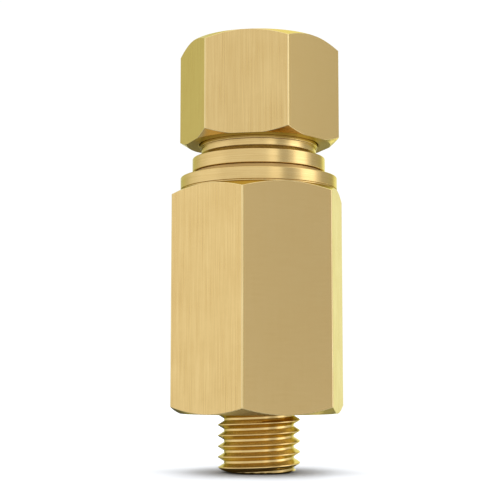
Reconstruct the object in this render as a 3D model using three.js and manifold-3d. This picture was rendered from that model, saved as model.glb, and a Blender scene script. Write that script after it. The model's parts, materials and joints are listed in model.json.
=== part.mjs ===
// In-line needle valve in brass: a male stud inlet, a preset needle inside a long hexagon body,
// and a compression outlet with a union nut. Millimetres, +Z up, origin at the middle of the
// stud's end face. The flow runs up the Z axis.
import * as THREE from 'three';
import { mergeVertices } from 'three/addons/utils/BufferGeometryUtils.js';
import Module from 'manifold-3d';

const wasm = await Module();
wasm.setup();

// ---------------------------------------------------------------- driving dimensions, mm

const SEATED_GAP = 0.05;        // between two pieces that are clamped together
const RUNNING_GAP = 0.1;        // radial, between a thread and the bore it turns in
const JOIN = 0.2;               // how far a solid runs into the one it is joined to
const PAST = 1;                 // how far a cutter runs past what it cuts

// Body
const BODY_FLATS = 19;          // spanner size
const BODY_BOTTOM = 6.9;
const BODY_TOP = 33.45;         // top of the hexagon
const BODY_END = { radius: 9.45, drop: 0.82 };
const COLLAR_RADIUS = 9.45;     // turned collar above the hexagon
const COLLAR_TOP = 35.05;
const COLLAR_NICK = 0.15;       // shallow turned line under the collar
const STUD_THREAD = { crest: 4.864, root: 4.15, pitch: 1.25, crestFlat: 0.12, rootFlat: 0.26 };
const STUD_LEAD = 0.857;         // where the stud's thread starts, in turns
const STUD_END_RADIUS = 4.25;
const STUD_RUN_OUT = { radius: 4.92, height: 0.15 };   // ends the stud's thread, under the hexagon

// Bore of the body, from the inlet up
const FILTER_POCKET = { radius: 3.1, top: 3.4 };
const FILTER_GROOVE = { radius: 3.4, bottom: 0.45, top: 1.0 };
const FILTER_RING = { width: 0.9, mouth: 1.8 };
const INLET_RADIUS = 2.0;
const SEAT_POCKET = { radius: 4.2, bottom: 8.6, top: 12.5 };
const LOWER_CHAMBER_RADIUS = 5.5;
const CARRIER_SHELF = 19.0;
const CHAMBER_RADIUS = 6.0;
const CHAMBER_TOP = 29.0;

// Seat and needle
const SEAT = { radius: 4.1, top: 12.9, orifice: 1.3, coneBottom: 11.5 };
const SEAT_GROOVE = { radius: 3.25, bottom: 10.0, top: 11.2 };
const SEAT_RING = { radius: 3.72, section: 0.42 };
const NEEDLE_SLOPE = Math.tan(THREE.MathUtils.degToRad(15));
const NEEDLE_TIP_RADIUS = 0.45;
const NEEDLE_FIT = 0.06;        // radial gap to the orifice when the valve is shut
const NEEDLE_SHANK_RADIUS = 1.75;
const NEEDLE_THREAD = { radius: 2.5, bottom: 17.2 };
const NEEDLE_TOP = 28.6;
const NEEDLE_KEY = { flats: 2.5, depth: 2.2 };
const CLIP = { bottom: 14.6, thickness: 0.4, groove: 1.3, outer: 3.0, mouth: 2.2 };
const SPRING_SEAT = { thickness: 0.5, outer: 4.2 };

// Needle carrier, lock nut and what holds them down
const CARRIER = { radius: 5.9, thickness: 3.0, hubRadius: 3.6, hubHeight: 1.95 };
const SPRING_POCKET = { radius: 3.75, depth: 1.8 };
const FLOW_HOLES = { count: 6, radius: 0.65, pitchRadius: 4.85 };
const SPRING = { radius: 3.3, wire: 0.25, turns: 5, endTurns: 0.8, endPitch: 0.56 };
const LOCK_WASHER = { outer: 4.2, thickness: 0.4 };
const LOCK_NUT = { flats: 8, height: 2.2, end: { radius: 3.9, drop: 0.4 } };
const SPACER_WALL = 0.55;
const DISC_SPRING = { inner: 4.4, height: 1.4, thickness: 0.5 };

// Outlet adapter
const ADAPTER_BOTTOM = 30.5;
const ADAPTER_THREAD = { radius: 6.5, top: 34.3, relief: 6.1, chamfer: 0.4 };
const ADAPTER_KEY_FLATS = 6;    // inner hexagon, which also carries the flow
const GASKET = { inner: 6.6, outer: 7.75, thickness: 0.6 };
const FLANGE = { radius: 8.02, top: 37.4 };
const NECK_RELIEF = { radius: 6.3, top: 38.0 };
const NECK_SHANK = { radius: 6.95, top: 38.75 };
const NECK_BEAD = { radius: 7.12, top: 39.05 };
const OUTLET_THREAD = { crest: 7.0, root: 6.15, pitch: 1.5, crestFlat: 0.2, rootFlat: 0.3 };
const NECK_TOP = 48.0;
const NECK_MOUTH_CHAMFER = 0.8;
const TUBE_SOCKET = { radius: 4.1, stop: 41.3 };
const CONE_SLOPE = Math.tan(THREE.MathUtils.degToRad(12));
const CONE_MOUTH_RADIUS = 5.0;

// Compression rings and union nut
const RING_BORE_RADIUS = 4.08;
const CUTTING_RING = { bottom: 45.2, shoulder: 48.1, shoulderRadius: 5.5, top: 49.05, back: 0.5 };
const CONE_GAP = 0.07;
const THRUST_RING = { radius: 5.65, bottom: 48.6, seat: 49.15, top: 50.25, lip: 0.05 };
const CAPTIVE_WIRE = { radius: 5.72, section: 0.28, height: 49.7, groove: 0.36, mouth: 1.2 };
const NUT_FLATS = 17;           // spanner size
const NUT_BOTTOM = 39.1;
const NUT_TOP = 51.3;
const NUT_LOWER_END = { radius: 8.7, drop: 0.7 };
const NUT_UPPER_END = { radius: 8.5, drop: 0.88 };
const NUT_MOUTH = { radius: 7.25, depth: 0.8 };
const NUT_POCKET = { radius: 5.75, bottom: 48.5, top: 50.3 };
const NUT_HOLE_RADIUS = 4.2;
const NUT_TURN = Math.PI / 6;   // the nut's corners stand over the body's flats

// Fineness
const ROUND = 36;
const SMALL_ROUND = 24;
const THREAD_SIDES = 24;
const THREAD_SPARE = 2;         // whole turns past each end, which are cut off
const HOLE_SIDES = 12;
const WIRE_SIDES = 3;           // per half turn of the spring wire's section
const RING_SIDES = 8;           // round the section of a ring
const SPRING_STEPS_PER_TURN = 14;

// ---------------------------------------------------------------- materials

const finish = (color, metalness, roughness) =>
  new THREE.MeshStandardMaterial({ color, metalness, roughness });

const BRASS = finish(0xd9b873, 1, 0.32);
const STAINLESS = finish(0xc3c6c8, 1, 0.28);
const SPRING_STEEL = finish(0x9b9ea3, 1, 0.3);
const COPPER = finish(0xa8703a, 1, 0.4);
const SINTERED_BRONZE = finish(0x97723e, 0.8, 0.85);
const RUBBER = finish(0x1d1d1f, 0, 0.7);

// ---------------------------------------------------------------- making solids

/** Signed volume inside a list of triangles, positive where they face out. */
function signedVolume(vertices, faces) {
  const corner = (i) => new THREE.Vector3().fromArray(vertices, 3 * faces[i]);
  let volume = 0;
  for (let i = 0; i < faces.length; i += 3) {
    volume += corner(i).dot(corner(i + 1).cross(corner(i + 2))) / 6;
  }
  return volume;
}

/** Turns a closed three.js geometry into a solid that can be joined and cut. */
function toSolid(geometry) {
  const bare = geometry.clone();
  bare.deleteAttribute('normal');
  bare.deleteAttribute('uv');
  const merged = mergeVertices(bare, 1e-5);
  const vertProperties = new Float32Array(merged.attributes.position.array);
  const faces = [];
  for (let i = 0; i < merged.index.count; i += 3) {
    const [a, b, c] = [0, 1, 2].map((k) => merged.index.getX(i + k));
    if (a !== b && b !== c && c !== a) faces.push(a, b, c);
  }
  if (signedVolume(vertProperties, faces) < 0) faces.reverse();
  const triVerts = new Uint32Array(faces);
  return new wasm.Manifold(new wasm.Mesh({ numProp: 3, vertProperties, triVerts }));
}

/** Turns a solid back into a three.js geometry. */
function toGeometry(solid) {
  const { numProp, vertProperties, triVerts } = solid.getMesh();
  const positions = [];
  for (let i = 0; i < vertProperties.length; i += numProp) {
    positions.push(...vertProperties.slice(i, i + 3));
  }
  const geometry = new THREE.BufferGeometry();
  geometry.setAttribute('position', new THREE.Float32BufferAttribute(positions, 3));
  geometry.setIndex(Array.from(triVerts));
  geometry.computeVertexNormals();
  return geometry;
}

/** Solid of revolution about Z, from the [radius, height] corners of a closed outline. */
function turned(corners, sides = ROUND) {
  const outline = [...corners, corners[0]].map(([r, z]) => new THREE.Vector2(r, z));
  return toSolid(new THREE.LatheGeometry(outline, sides).rotateX(Math.PI / 2));
}

/** Round rod or disc. */
function rod(radius, bottom, top, sides = ROUND) {
  return turned([[0, bottom], [radius, bottom], [radius, top], [0, top]], sides);
}

/** Flat ring or sleeve. */
function sleeve(inner, outer, bottom, top, sides = ROUND) {
  return turned([[inner, bottom], [outer, bottom], [outer, top], [inner, top]], sides);
}

/** Ring of round section. */
function torus(radius, section, height, sides = SMALL_ROUND) {
  return toSolid(new THREE.TorusGeometry(radius, section, RING_SIDES, sides).translate(0, 0, height));
}

/** Box that cuts the mouth of an open ring, on its +X side. */
function mouthCutter(width, reach, bottom, top) {
  const box = new THREE.BoxGeometry(reach, width, top - bottom);
  return toSolid(box.translate(reach / 2, 0, (bottom + top) / 2));
}

const cornerRadius = (flats) => flats / Math.sqrt(3);

/** Hexagonal bar with a corner towards -Y, turned about Z by an angle. */
function hexBar(flats, bottom, top, turn = 0) {
  const radius = cornerRadius(flats);
  const bar = new THREE.CylinderGeometry(radius, radius, top - bottom, 6);
  return toSolid(bar.rotateX(Math.PI / 2).rotateZ(turn).translate(0, 0, (bottom + top) / 2));
}

/** Hexagonal bar with its corners turned off in a cone at each end. */
function chamferedHex(flats, bottom, top, lowerEnd, upperEnd, turn = 0) {
  const reach = cornerRadius(flats);
  const outer = reach + PAST;
  const rise = ({ radius, drop }) => (drop * (outer - radius)) / (reach - radius);
  const envelope = turned([
    [0, bottom], [lowerEnd.radius, bottom], [outer, bottom + rise(lowerEnd)],
    [outer, top - rise(upperEnd)], [upperEnd.radius, top], [0, top],
  ]);
  return hexBar(flats, bottom, top, turn).intersect(envelope);
}

// ---------------------------------------------------------------- threads

/** One pitch of a thread's outline: [height, radius] at the edges of its crest and its root. */
function threadStations({ crest, root, pitch, crestFlat, rootFlat }) {
  const flank = (pitch - crestFlat - rootFlat) / 2;
  return [[0, crest], [crestFlat, crest], [crestFlat + flank, root],
    [crestFlat + flank + rootFlat, root]];
}

/** Points of a right-hand thread: rows along its outline, climbing one pitch in each turn. */
function threadPoints(thread, start, turns, sides) {
  const stations = threadStations(thread);
  const points = [];
  for (let row = 0; row <= turns * stations.length; row++) {
    const [rise, radius] = stations[row % stations.length];
    const foot = start + Math.floor(row / stations.length) * thread.pitch + rise;
    for (let side = 0; side < sides; side++) {
      const angle = (2 * Math.PI * side) / sides;
      const height = foot + (thread.pitch * side) / sides;
      points.push(radius * Math.cos(angle), radius * Math.sin(angle), height);
    }
  }
  return points;
}

/** Faces between the rows. The last side meets the first one a whole pitch up: `step` rows. */
function threadFaces(rows, step, sides) {
  const at = (row, side) => (side < sides ? row * sides + side : (row + step) * sides);
  const faces = [];
  for (let row = 0; row < rows; row++) {
    const lastSide = row + step < rows ? sides : sides - 1;
    for (let side = 0; side < lastSide; side++) {
      const [a, b] = [at(row, side), at(row, side + 1)];
      const [c, d] = [at(row + 1, side + 1), at(row + 1, side)];
      faces.push(a, b, c, a, c, d);
    }
  }
  return faces;
}

/** Open edges of the rows, at the low end and at the high end. */
function threadRims(rows, step, sides) {
  const low = [];
  const high = [];
  for (let side = 0; side < sides; side++) {
    low.push(side);
    high.push(rows * sides + side);
  }
  for (let k = 0; k < step; k++) {
    low.push((step - k) * sides);
    high.push((rows - k) * sides - 1);
  }
  return { low: low.reverse(), high };
}

/** Closes a rim with triangles that meet at a point on the axis. */
function closeRim(points, faces, rim, height) {
  const centre = points.length / 3;
  points.push(0, 0, height);
  rim.forEach((corner, i) => faces.push(centre, corner, rim[(i + 1) % rim.length]));
}

/** Right-hand threaded rod about Z with flat ends; `lead` shifts its thread up, in turns. */
function threadedRod(thread, bottom, top, lead = 0, sides = THREAD_SIDES) {
  const step = threadStations(thread).length;
  const turns = Math.ceil((top - bottom) / thread.pitch) + 2 * THREAD_SPARE;
  const start = bottom + (lead - THREAD_SPARE) * thread.pitch;
  const points = threadPoints(thread, start, turns, sides);
  const faces = threadFaces(turns * step, step, sides);
  const { low, high } = threadRims(turns * step, step, sides);
  closeRim(points, faces, low, start + thread.pitch / 2);
  closeRim(points, faces, high, start + (turns + 0.5 - 1 / sides) * thread.pitch);
  const geometry = new THREE.BufferGeometry();
  geometry.setAttribute('position', new THREE.Float32BufferAttribute(points, 3));
  geometry.setIndex(faces);
  return toSolid(geometry).intersect(rod(thread.crest + PAST, bottom, top, sides));
}

// ---------------------------------------------------------------- body and inlet

/** Long hexagon with its male stud, its turned collar and its stepped bore. */
function valveBody() {
  const hexagon = chamferedHex(BODY_FLATS, BODY_BOTTOM, BODY_TOP, BODY_END, BODY_END);
  const studTop = BODY_BOTTOM + JOIN;
  const leadIn = turned([[0, 0], [STUD_END_RADIUS, 0], [STUD_END_RADIUS + studTop, studTop],
    [0, studTop]], THREAD_SIDES);
  const stud = threadedRod(STUD_THREAD, 0, studTop, STUD_LEAD).intersect(leadIn);
  const runOutBottom = BODY_BOTTOM - STUD_RUN_OUT.height;
  const runOut = turned([[0, runOutBottom], [STUD_RUN_OUT.radius, runOutBottom],
    [STUD_RUN_OUT.radius, studTop], [0, studTop]], THREAD_SIDES);
  const nickTop = BODY_TOP + COLLAR_NICK;
  const nickRadius = COLLAR_RADIUS - COLLAR_NICK;
  const foot = BODY_TOP - JOIN;
  const collar = turned([[0, foot], [nickRadius, foot], [nickRadius, nickTop],
    [COLLAR_RADIUS, nickTop], [COLLAR_RADIUS, COLLAR_TOP], [0, COLLAR_TOP]]);
  return hexagon.add(stud).add(runOut).add(collar).subtract(bodyBore());
}

/** The stepped way through the body, from the filter pocket up to the adapter's thread. */
function bodyBore() {
  const threadRadius = ADAPTER_THREAD.radius + RUNNING_GAP;
  const { radius: pocket, top: pocketTop } = FILTER_POCKET;
  const { radius: groove, bottom: grooveBottom, top: grooveTop } = FILTER_GROOVE;
  return turned([
    [0, -PAST], [pocket, -PAST], [pocket, grooveBottom], [groove, grooveBottom], [groove, grooveTop],
    [pocket, grooveTop], [pocket, pocketTop], [INLET_RADIUS, pocketTop],
    [INLET_RADIUS, SEAT_POCKET.bottom], [SEAT_POCKET.radius, SEAT_POCKET.bottom],
    [SEAT_POCKET.radius, SEAT_POCKET.top], [LOWER_CHAMBER_RADIUS, SEAT_POCKET.top],
    [LOWER_CHAMBER_RADIUS, CARRIER_SHELF], [CHAMBER_RADIUS, CARRIER_SHELF],
    [CHAMBER_RADIUS, CHAMBER_TOP], [threadRadius, CHAMBER_TOP],
    [threadRadius, COLLAR_TOP + PAST], [0, COLLAR_TOP + PAST],
  ]);
}

/** Sintered disc that keeps dirt off the needle. */
function inletFilter() {
  const radius = FILTER_POCKET.radius - RUNNING_GAP;
  const bottom = FILTER_GROOVE.top + SEATED_GAP;
  const top = FILTER_POCKET.top - SEATED_GAP;
  const edge = 0.3;
  return turned([[0, bottom], [radius - edge, bottom], [radius, bottom + edge],
    [radius, top - edge], [radius - edge, top], [0, top]], SMALL_ROUND);
}

/** Open spring ring that holds the filter in. */
function filterRing() {
  const bottom = FILTER_GROOVE.bottom + SEATED_GAP;
  const top = FILTER_GROOVE.top - SEATED_GAP;
  const outer = FILTER_GROOVE.radius - RUNNING_GAP;
  const closed = sleeve(outer - FILTER_RING.width, outer, bottom, top, SMALL_ROUND);
  return closed.subtract(mouthCutter(FILTER_RING.mouth, outer + PAST, bottom - PAST, top + PAST));
}

// ---------------------------------------------------------------- seat and needle

/** Pressed-in seat with a conical mouth and a groove for its sealing ring. */
function seatInsert() {
  const bottom = SEAT_POCKET.bottom + SEATED_GAP;
  const mouth = SEAT.orifice + (SEAT.top - SEAT.coneBottom) * NEEDLE_SLOPE;
  const edge = 0.4;
  return turned([
    [SEAT.orifice, bottom], [SEAT.radius, bottom], [SEAT.radius, SEAT_GROOVE.bottom],
    [SEAT_GROOVE.radius, SEAT_GROOVE.bottom], [SEAT_GROOVE.radius, SEAT_GROOVE.top],
    [SEAT.radius, SEAT_GROOVE.top], [SEAT.radius, SEAT.top - edge],
    [SEAT.radius - edge, SEAT.top], [mouth, SEAT.top], [SEAT.orifice, SEAT.coneBottom],
  ], SMALL_ROUND);
}

/** Screw spindle that ends in the tapered needle, shut on the seat at rest. */
function needle() {
  const atSeat = SEAT.orifice - NEEDLE_FIT;
  const tip = SEAT.coneBottom - (atSeat - NEEDLE_TIP_RADIUS) / NEEDLE_SLOPE;
  const coneTop = tip + (NEEDLE_SHANK_RADIUS - NEEDLE_TIP_RADIUS) / NEEDLE_SLOPE;
  const grooveBottom = CLIP.bottom - SEATED_GAP;
  const grooveTop = CLIP.bottom + CLIP.thickness + SEATED_GAP;
  const { radius, bottom } = NEEDLE_THREAD;
  const edge = 0.35;
  const spindle = turned([
    [0, tip], [NEEDLE_TIP_RADIUS, tip], [NEEDLE_SHANK_RADIUS, coneTop],
    [NEEDLE_SHANK_RADIUS, grooveBottom], [CLIP.groove, grooveBottom], [CLIP.groove, grooveTop],
    [NEEDLE_SHANK_RADIUS, grooveTop], [NEEDLE_SHANK_RADIUS, bottom], [radius - edge, bottom],
    [radius, bottom + edge], [radius, NEEDLE_TOP - edge], [radius - edge, NEEDLE_TOP],
    [0, NEEDLE_TOP],
  ], SMALL_ROUND);
  const keyBottom = NEEDLE_TOP - NEEDLE_KEY.depth;
  return spindle.subtract(hexBar(NEEDLE_KEY.flats, keyBottom, NEEDLE_TOP + PAST));
}

/** Open clip in the needle's groove, under the spring seat. */
function springClip() {
  const top = CLIP.bottom + CLIP.thickness;
  const closed = sleeve(CLIP.groove + SEATED_GAP, CLIP.outer, CLIP.bottom, top, SMALL_ROUND);
  const cutter = mouthCutter(CLIP.mouth, CLIP.outer + PAST, CLIP.bottom - PAST, top + PAST);
  return closed.subtract(cutter);
}

const SPRING_SEAT_BOTTOM = CLIP.bottom + CLIP.thickness + 2 * SEATED_GAP;
const SPRING_SEAT_TOP = SPRING_SEAT_BOTTOM + SPRING_SEAT.thickness;

/** Washer that the spring presses on and the needle turns in. */
function springSeat() {
  return sleeve(NEEDLE_SHANK_RADIUS + RUNNING_GAP, SPRING_SEAT.outer,
    SPRING_SEAT_BOTTOM, SPRING_SEAT_TOP, SMALL_ROUND);
}

const CARRIER_BOTTOM = CARRIER_SHELF + SEATED_GAP;
const CARRIER_TOP = CARRIER_BOTTOM + CARRIER.thickness;
const HUB_TOP = CARRIER_TOP + CARRIER.hubHeight;
const SPRING_CEILING = CARRIER_BOTTOM + SPRING_POCKET.depth;

/** Centre line of the spring's wire, with close turns at both ends. */
class SpringPath extends THREE.Curve {
  getPoint(share) {
    const turn = share * SPRING.turns;
    const low = SPRING_SEAT_TOP + SEATED_GAP + SPRING.wire;
    const high = SPRING_CEILING - SEATED_GAP - SPRING.wire;
    const endRise = SPRING.endTurns * SPRING.endPitch;
    const openTurns = SPRING.turns - 2 * SPRING.endTurns;
    const openPitch = (high - low - 2 * endRise) / openTurns;
    const lowTurns = Math.min(turn, SPRING.endTurns);
    const highTurns = Math.max(turn - SPRING.endTurns - openTurns, 0);
    const middleTurns = turn - lowTurns - highTurns;
    const height = low + (lowTurns + highTurns) * SPRING.endPitch + middleTurns * openPitch;
    const angle = 2 * Math.PI * turn;
    return new THREE.Vector3(SPRING.radius * Math.cos(angle), SPRING.radius * Math.sin(angle), height);
  }
}

/** Compression spring that takes up the play in the needle's thread. */
function needleSpring() {
  const section = new THREE.Shape();
  section.absarc(0, 0, SPRING.wire, 0, 2 * Math.PI);
  return toSolid(new THREE.ExtrudeGeometry(section, {
    extrudePath: new SpringPath(),
    steps: SPRING.turns * SPRING_STEPS_PER_TURN,
    curveSegments: WIRE_SIDES,
    bevelEnabled: false,
  }));
}

// ---------------------------------------------------------------- needle carrier and lock nut

const LOCK_BORE = NEEDLE_THREAD.radius + RUNNING_GAP;

/** Threaded bridge that holds the needle on the axis, with a ring of flow holes. */
function needleCarrier() {
  const bridge = turned([
    [LOCK_BORE, SPRING_CEILING], [SPRING_POCKET.radius, SPRING_CEILING],
    [SPRING_POCKET.radius, CARRIER_BOTTOM], [CARRIER.radius, CARRIER_BOTTOM],
    [CARRIER.radius, CARRIER_TOP], [CARRIER.hubRadius, CARRIER_TOP],
    [CARRIER.hubRadius, HUB_TOP], [LOCK_BORE, HUB_TOP],
  ]);
  let drilled = bridge;
  for (let i = 0; i < FLOW_HOLES.count; i++) {
    const angle = (2 * Math.PI * i) / FLOW_HOLES.count;
    const drill = new THREE.CylinderGeometry(FLOW_HOLES.radius, FLOW_HOLES.radius,
      CARRIER.thickness + 2 * PAST, HOLE_SIDES);
    drill.rotateX(Math.PI / 2).translate(FLOW_HOLES.pitchRadius, 0, (CARRIER_BOTTOM + CARRIER_TOP) / 2);
    drilled = drilled.subtract(toSolid(drill.rotateZ(angle)));
  }
  return drilled;
}

const WASHER_BOTTOM = HUB_TOP + SEATED_GAP;
const WASHER_TOP = WASHER_BOTTOM + LOCK_WASHER.thickness;
const LOCK_NUT_BOTTOM = WASHER_TOP + SEATED_GAP;

/** Captive washer under the lock nut. */
function lockWasher() {
  return sleeve(LOCK_BORE + SEATED_GAP, LOCK_WASHER.outer, WASHER_BOTTOM, WASHER_TOP, SMALL_ROUND);
}

/** Thin nut that locks the needle's setting. */
function lockNut() {
  const top = LOCK_NUT_BOTTOM + LOCK_NUT.height;
  const blank = chamferedHex(LOCK_NUT.flats, LOCK_NUT_BOTTOM, top, LOCK_NUT.end, LOCK_NUT.end);
  return blank.subtract(rod(LOCK_BORE, LOCK_NUT_BOTTOM - PAST, top + PAST, SMALL_ROUND));
}

const SPACER_BOTTOM = CARRIER_TOP + SEATED_GAP;
const DISC_TOP = ADAPTER_BOTTOM - SEATED_GAP;
const DISC_BOTTOM = DISC_TOP - DISC_SPRING.height;

/** Sleeve that presses the carrier onto its shelf. */
function carrierSpacer() {
  return sleeve(CARRIER.radius - SPACER_WALL, CARRIER.radius, SPACER_BOTTOM,
    DISC_BOTTOM - SEATED_GAP);
}

/** Coned spring washer between the spacer and the adapter. */
function discSpring() {
  const { inner, thickness } = DISC_SPRING;
  return turned([[CARRIER.radius, DISC_BOTTOM], [CARRIER.radius, DISC_BOTTOM + thickness],
    [inner, DISC_TOP], [inner, DISC_TOP - thickness]]);
}

// ---------------------------------------------------------------- outlet

const FLANGE_BOTTOM = COLLAR_TOP + GASKET.thickness + 2 * SEATED_GAP;

/** Flat sealing ring between the body's collar and the adapter's flange. */
function bodyGasket() {
  const bottom = COLLAR_TOP + SEATED_GAP;
  return sleeve(GASKET.inner, GASKET.outer, bottom, bottom + GASKET.thickness);
}

/** Screwed-in outlet: thread into the body, flange, and the threaded neck for the union nut. */
function outletAdapter() {
  const { radius, top, relief, chamfer } = ADAPTER_THREAD;
  const lower = turned([
    [0, ADAPTER_BOTTOM], [radius - chamfer, ADAPTER_BOTTOM], [radius, ADAPTER_BOTTOM + chamfer],
    [radius, top], [relief, top], [relief, FLANGE_BOTTOM], [FLANGE.radius, FLANGE_BOTTOM],
    [FLANGE.radius, FLANGE.top], [NECK_RELIEF.radius, FLANGE.top],
    [NECK_RELIEF.radius, NECK_RELIEF.top], [NECK_SHANK.radius, NECK_RELIEF.top],
    [NECK_SHANK.radius, NECK_SHANK.top], [NECK_BEAD.radius, NECK_SHANK.top],
    [NECK_BEAD.radius, NECK_BEAD.top], [0, NECK_BEAD.top],
  ]);
  const threadBottom = NECK_BEAD.top - JOIN;
  const rimRadius = OUTLET_THREAD.crest - NECK_MOUTH_CHAMFER;
  const leadIn = turned([[0, threadBottom], [rimRadius + NECK_TOP - threadBottom, threadBottom],
    [rimRadius, NECK_TOP], [0, NECK_TOP]], THREAD_SIDES);
  const neck = threadedRod(OUTLET_THREAD, threadBottom, NECK_TOP).intersect(leadIn);
  return lower.add(neck).subtract(adapterBore());
}

const coneRadius = (height) => CONE_MOUTH_RADIUS - (NECK_TOP - height) * CONE_SLOPE;

/** Inner hexagon, tube socket and the 24 degree cone that the cutting ring is pressed into. */
function adapterBore() {
  const { radius, stop } = TUBE_SOCKET;
  const coneBottom = NECK_TOP - (CONE_MOUTH_RADIUS - radius) / CONE_SLOPE;
  const socket = turned([[0, stop], [radius, stop], [radius, coneBottom],
    [coneRadius(NECK_TOP + PAST), NECK_TOP + PAST], [0, NECK_TOP + PAST]]);
  return socket.add(hexBar(ADAPTER_KEY_FLATS, ADAPTER_BOTTOM - PAST, stop + JOIN));
}

/** Tapered ring that grips the tube. */
function cuttingRing() {
  const { bottom, shoulder, shoulderRadius, top, back } = CUTTING_RING;
  return turned([
    [RING_BORE_RADIUS, bottom], [coneRadius(bottom) - CONE_GAP, bottom],
    [coneRadius(NECK_TOP) - CONE_GAP, NECK_TOP], [shoulderRadius, shoulder],
    [shoulderRadius, top - back], [shoulderRadius - back, top], [RING_BORE_RADIUS, top],
  ]);
}

/** Ring that passes the nut's push to the cutting ring without turning it. */
function thrustRing() {
  const { radius, bottom, seat, top, lip } = THRUST_RING;
  const mouth = radius - lip;
  const blank = turned([
    [RING_BORE_RADIUS, seat], [mouth - (seat - bottom), seat], [mouth, bottom], [radius, bottom],
    [radius, top], [RING_BORE_RADIUS, top],
  ]);
  return blank.subtract(wireGroove());
}

/** Groove that the captive wire runs in, half in the thrust ring and half in the nut. */
function wireGroove() {
  const { radius, height, groove } = CAPTIVE_WIRE;
  return sleeve(radius - groove, radius + groove, height - groove, height + groove);
}

/** Open wire ring that keeps the thrust ring in the nut. */
function captiveWire() {
  const { radius, section, height, mouth } = CAPTIVE_WIRE;
  const cutter = mouthCutter(mouth, radius + PAST, height - PAST, height + PAST);
  return torus(radius, section, height).subtract(cutter);
}

/** Hexagon nut that pulls the rings into the cone. */
function unionNut() {
  const threadRadius = OUTLET_THREAD.crest + RUNNING_GAP;
  const mouthTop = NUT_BOTTOM + NUT_MOUTH.depth;
  const blank = chamferedHex(NUT_FLATS, NUT_BOTTOM, NUT_TOP, NUT_LOWER_END, NUT_UPPER_END, NUT_TURN);
  const bore = turned([
    [0, NUT_BOTTOM - PAST], [NUT_MOUTH.radius, NUT_BOTTOM - PAST], [NUT_MOUTH.radius, mouthTop],
    [threadRadius, mouthTop + NUT_MOUTH.radius - threadRadius], [threadRadius, NUT_POCKET.bottom],
    [NUT_POCKET.radius, NUT_POCKET.bottom], [NUT_POCKET.radius, NUT_POCKET.top],
    [NUT_HOLE_RADIUS, NUT_POCKET.top], [NUT_HOLE_RADIUS, NUT_TOP + PAST], [0, NUT_TOP + PAST],
  ]);
  return blank.subtract(bore).subtract(wireGroove());
}

// ---------------------------------------------------------------- assembly

const PIECES = [
  ['valve_body', valveBody, BRASS],
  ['inlet_filter', inletFilter, SINTERED_BRONZE],
  ['filter_ring', filterRing, SPRING_STEEL],
  ['seat_insert', seatInsert, STAINLESS],
  ['seat_o_ring', () => torus(SEAT_RING.radius, SEAT_RING.section,
    (SEAT_GROOVE.bottom + SEAT_GROOVE.top) / 2), RUBBER],
  ['needle', needle, STAINLESS],
  ['spring_clip', springClip, SPRING_STEEL],
  ['spring_seat', springSeat, STAINLESS],
  ['needle_spring', needleSpring, SPRING_STEEL],
  ['needle_carrier', needleCarrier, BRASS],
  ['lock_washer', lockWasher, STAINLESS],
  ['lock_nut', lockNut, BRASS],
  ['carrier_spacer', carrierSpacer, BRASS],
  ['disc_spring', discSpring, SPRING_STEEL],
  ['body_gasket', bodyGasket, COPPER],
  ['outlet_adapter', outletAdapter, BRASS],
  ['cutting_ring', cuttingRing, BRASS],
  ['thrust_ring', thrustRing, BRASS],
  ['captive_wire', captiveWire, SPRING_STEEL],
  ['union_nut', unionNut, BRASS],
];

const valve = new THREE.Group();
for (const [name, make, material] of PIECES) {
  const mesh = new THREE.Mesh(toGeometry(make()), material);
  mesh.name = name;
  valve.add(mesh);
}

export default valve;
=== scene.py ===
import json
import math

import bmesh
import bpy
import numpy as np
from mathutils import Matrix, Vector


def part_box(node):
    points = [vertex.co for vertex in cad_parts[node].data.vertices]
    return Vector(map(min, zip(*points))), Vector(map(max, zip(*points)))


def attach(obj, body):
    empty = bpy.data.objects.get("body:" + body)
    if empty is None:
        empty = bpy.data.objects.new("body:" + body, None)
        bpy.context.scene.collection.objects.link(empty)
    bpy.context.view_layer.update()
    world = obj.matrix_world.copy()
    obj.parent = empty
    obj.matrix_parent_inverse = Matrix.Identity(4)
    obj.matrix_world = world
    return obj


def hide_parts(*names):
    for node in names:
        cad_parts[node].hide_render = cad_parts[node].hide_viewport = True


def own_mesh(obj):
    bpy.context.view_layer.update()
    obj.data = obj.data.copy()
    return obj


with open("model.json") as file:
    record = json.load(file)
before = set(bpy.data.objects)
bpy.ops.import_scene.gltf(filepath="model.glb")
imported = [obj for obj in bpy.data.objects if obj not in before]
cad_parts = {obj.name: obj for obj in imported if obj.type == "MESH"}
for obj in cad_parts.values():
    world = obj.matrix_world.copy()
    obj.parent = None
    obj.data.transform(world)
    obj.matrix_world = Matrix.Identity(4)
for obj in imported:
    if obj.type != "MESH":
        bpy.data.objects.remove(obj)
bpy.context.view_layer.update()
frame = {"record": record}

# An in-line needle valve in satin brass. Every piece is made again here as a fine mesh round the
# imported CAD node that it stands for: turned pieces and hexagons are built from columns of points,
# one column for each angle about the Z axis, and wires and clips are swept along their centre line.
# Outlines are in millimetres, [radius, height]; meshes are in metres.

MM = 0.001
TURN = 2 * math.pi


def heights(node):
    """Bottom and top of a CAD node, in millimetres."""
    low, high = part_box(node)
    return low.z / MM, high.z / MM


def reach(node):
    """Largest radius of a round CAD node, in millimetres."""
    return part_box(node)[1].x / MM


# ---------------------------------------------------------------- dimensions, mm

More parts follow.
